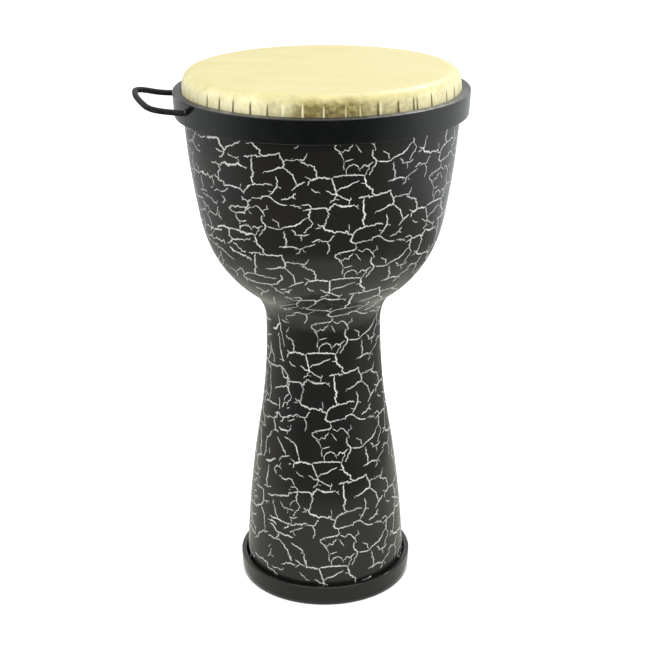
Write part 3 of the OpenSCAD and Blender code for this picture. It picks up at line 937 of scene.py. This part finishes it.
# Greys of the painted highlight on the collar's ledge, along X
COLLAR_LEDGE_HIGHLIGHT = ((0.08, (0.003,) * 3), (0.22, (0.15, 0.14, 0.13)), (0.40, (0.03,) * 3),
              (0.62, (0.05, 0.05, 0.048)), (0.80, (0.22, 0.22, 0.21)), (0.98, (0.03,) * 3))


def collar_black():
    """Satin black, duller on the level face that rings the skin, with a painted grey highlight on that face's
    -Y side.
    """
    n = Nodes("collar_black")
    facing, place = n.split(n.new("NewGeometry").outputs["Normal"]), n.split()
    level = n.smoothly(facing["Z"], 0.35, 0.9, 0.0, 1.0)
    black = n.mix(n.spread(n.noise(24, 3), 0.3, 0.7, 0, 1), *COLLAR_BLACKS)
    # Painted highlight: greys along X, broken up by noise, kept to the level face on the -Y side.
    ledge_highlight = n.ramp(n.spread(place["X"], -0.14, 0.14, 0.0, 1.0), *COLLAR_LEDGE_HIGHLIGHT)
    ledge_highlight = n.mix(n.spread(n.noise(150, 3), 0.40, 0.62, 0.0, 0.65), ledge_highlight, black)
    front = n.spread(place["Y"], -0.03, 0.0, 1.0, 0.0)
    n.set(Base_Color=n.mix(n.maths("MULTIPLY", level, front), black, ledge_highlight),
          Roughness=n.blend(level, n.spread(n.noise(60, 3), 0.25, 0.75, 0.12, 0.23), 0.42))
    n.link(n.blend(level, 0.78, 0.35), n.bsdf.inputs["Specular IOR Level"])
    n.bump(n.noise(190, 2), 0.00010, 0.15)
    return n.material


def steel():
    """Grey steel of the hoop."""
    n = Nodes("hoop_steel")
    tone = n.ramp(n.noise(300, 3), (0.3, (0.42, 0.42, 0.43)), (0.7, (0.60, 0.60, 0.61)))
    n.set(Base_Color=tone, Metallic=1.0, Roughness=n.spread(n.noise(500, 2), 0.2, 0.8, 0.25, 0.4))
    n.bump(n.noise(900, 2), 0.00005, 0.4)
    return n.material


def nickel():
    """Dark plating of the eyelets."""
    n = Nodes("dark_nickel")
    tone = n.ramp(n.noise(400, 3), (0.3, (0.13, 0.13, 0.135)), (0.7, (0.20, 0.20, 0.205)))
    n.set(Base_Color=tone, Metallic=1.0, Roughness=n.spread(n.noise(600, 2), 0.2, 0.8, 0.24, 0.36))
    return n.material


def braid():
    """Black yarn, with a painted highlight where a strand stands out and painted shade where it dips under
    another.
    """
    n = Nodes("braid_black")
    strand = n.new("Attribute", attribute_name="strand_light").outputs["Fac"]
    # Painted highlight on the raised strands and painted shade between them, with fine fibre noise.
    yarn = n.maths("ADD", n.maths("MULTIPLY", n.noise(700, 3, 0.7), 0.6), n.maths("MULTIPLY", strand, 0.5))
    n.set(Base_Color=n.ramp(yarn, (0.55, (0.0015, 0.0015, 0.0016)), (0.74, (0.006, 0.006, 0.0062)),
                            (0.90, (0.045, 0.045, 0.044))),
          Roughness=n.spread(yarn, 0.5, 0.9, 0.6, 0.8))
    n.bsdf.inputs["Specular IOR Level"].default_value = 0.18
    n.bump(n.noise(1500, 3), 0.0001, 0.6)
    return n.material


def backdrop():
    """White paper under the drum."""
    n = Nodes("floor_white")
    n.set(Base_Color=n.mix(n.spread(n.noise(3, 2), 0.4, 0.6, 0, 1), (0.84, 0.84, 0.84), (0.86, 0.86, 0.86)),
          Roughness=0.9, Emission_Color=(1, 1, 1), Emission_Strength=0.36)
    n.bsdf.inputs["Specular IOR Level"].default_value = 0.05
    return n.material


def dress(node, material, angle=35):
    """Gives a CAD node its material and smooth shading."""
    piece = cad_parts[node]
    for s in piece.material_slots:
        s.material = material
    piece.data.polygons.foreach_set("use_smooth", [True] * len(piece.data.polygons))
    piece.data.set_sharp_from_angle(angle=math.radians(angle))


# ------------------------------ studio
def area(name, at, target, size, power):
    """A square lamp of a size in metres and a power in watts, aimed at a point."""
    data = bpy.data.lights.new(name, "AREA")
    data.shape, data.size, data.size_y, data.energy = "RECTANGLE", size, size, power
    lamp = bpy.data.objects.new(name, data)
    lamp.location = at
    lamp.rotation_euler = (Vector(target) - Vector(at)).to_track_quat("-Z", "Y").to_euler()
    bpy.context.scene.collection.objects.link(lamp)
    return lamp


CARD_FOOT = 0.66              # brightness of the reflection card close to the foot
CARD_NEAR = (0.12, 0.42)      # in front and at the sides, near the drum
CARD_FAR = (0.02, 0.52)       # and further away
CARD_RIGHT = (0.72, 1.5)      # what those are multiplied by on the +X side
CARD_TINTS = ((0.97, 1.0, 0.87), (0.95, 1.0, 0.985))


CARD_AROUND, CARD_LIFT = 96, 0.001
CARD_RADII = (0.087, 0.2, 0.36, 0.44, 0.52, 0.7, 0.9, 1.2, 4.0)


def card_grey():
    """The card's glow: dark in front and lighter to the sides, by metres from the foot's middle."""
    n = Nodes("card_grey")
    x, y, _ = n.split()
    far = n.length()
    toward = n.maths("DIVIDE", y, far)
    near = n.smoothly(toward, -1.0, 0.1, *CARD_NEAR)
    away = n.smoothly(toward, -1.0, 0.1, *CARD_FAR)
    right = n.smoothly(n.maths("DIVIDE", x, far), -0.1, 0.6, 0.0, 1.0)
    near = n.maths("MULTIPLY", near, n.blend(right, 1.0, CARD_RIGHT[0]))
    away = n.maths("MULTIPLY", away, n.blend(right, 1.0, CARD_RIGHT[1]))
    level = n.blend(n.smoothly(far, 0.7, 1.1, 0.0, 1.0), near, away)
    level = n.blend(n.smoothly(far, 0.36, 0.52, 0.0, 1.0), CARD_FOOT, level)
    glow = n.new("Emission")
    n.link(level, glow.inputs["Strength"])
    n.link(n.mix(n.smoothly(far, 0.45, 1.0, 0.0, 1.0), *CARD_TINTS), glow.inputs["Color"])
    n.link(glow.outputs[0], n.out.inputs["Surface"])
    return n.material


def reflection_card():
    """Grey card laid round the drum, seen only in reflections."""
    verts = []
    for r in CARD_RADII:
        verts += [(r * math.sin(t * 2 * math.pi / CARD_AROUND), -r * math.cos(t * 2 * math.pi / CARD_AROUND),
                   CARD_LIFT) for t in range(CARD_AROUND)]
    mesh = bpy.data.meshes.new("reflection_card")
    mesh.from_pydata(verts, [], [f[::-1] for f in grid_faces(len(CARD_RADII), CARD_AROUND)])
    mesh.materials.append(card_grey())
    card = bpy.data.objects.new("reflection_card", mesh)
    bpy.context.scene.collection.objects.link(card)
    card.visible_camera = card.visible_diffuse = card.visible_shadow = False
    card.visible_transmission = card.visible_volume_scatter = False


def make_studio():
    """Floor, card, even white sky and three soft lamps."""
    bpy.ops.mesh.primitive_plane_add(size=24, location=(0, 6, 0))
    floor = bpy.context.object
    floor.name = "studio_floor"
    floor.data.materials.append(backdrop())
    reflection_card()
    world = bpy.data.worlds.new("studio")
    bpy.context.scene.world = world
    world.use_nodes = True
    sky = world.node_tree.nodes["Background"]
    sky.inputs["Color"].default_value = (1, 1, 1, 1)
    sky.inputs["Strength"].default_value = 1.0
    area("top_light", (0.0, 0.1, 2.6), (0, 0, 0.3), 2.4, 27)
    fill = area("front_fill", (0.7, -1.6, 1.5), (0, 0, 0.48), 0.9, 14)
    fill.visible_glossy = False
    shine = area("rim_shine", (0.94, 1.3, 2.13), (0.09, -0.08, 0.5), 0.7, 50)
    shine.visible_diffuse = False
    bpy.context.scene.view_settings.view_transform = "Standard"


make_camera()
cord_material = braid()
make_cord(cord_material)
make_shell(gloss_black(), inside_black())
make_crackle(crackle_white())
make_skin(hide())
foot_material = satin_black("foot_black", (0.0036, 0.0038, 0.0030), (0.0052, 0.0055, 0.0045), 0.12, 60)
ring_material = satin_black("ring_black", (0.020, 0.020, 0.020), (0.030, 0.029, 0.028), 0.6)
eyelet_material = nickel()
dress("collar", collar_black())
dress("foot_ring", foot_material)
dress("bearing_ring", ring_material)
dress("flesh_hoop", steel())
for eyelet in ("front_eyelet", "rear_eyelet"):
    dress(eyelet, eyelet_material)
for knot in ("front_knot", "rear_knot"):
    dress(knot, cord_material)
make_studio()
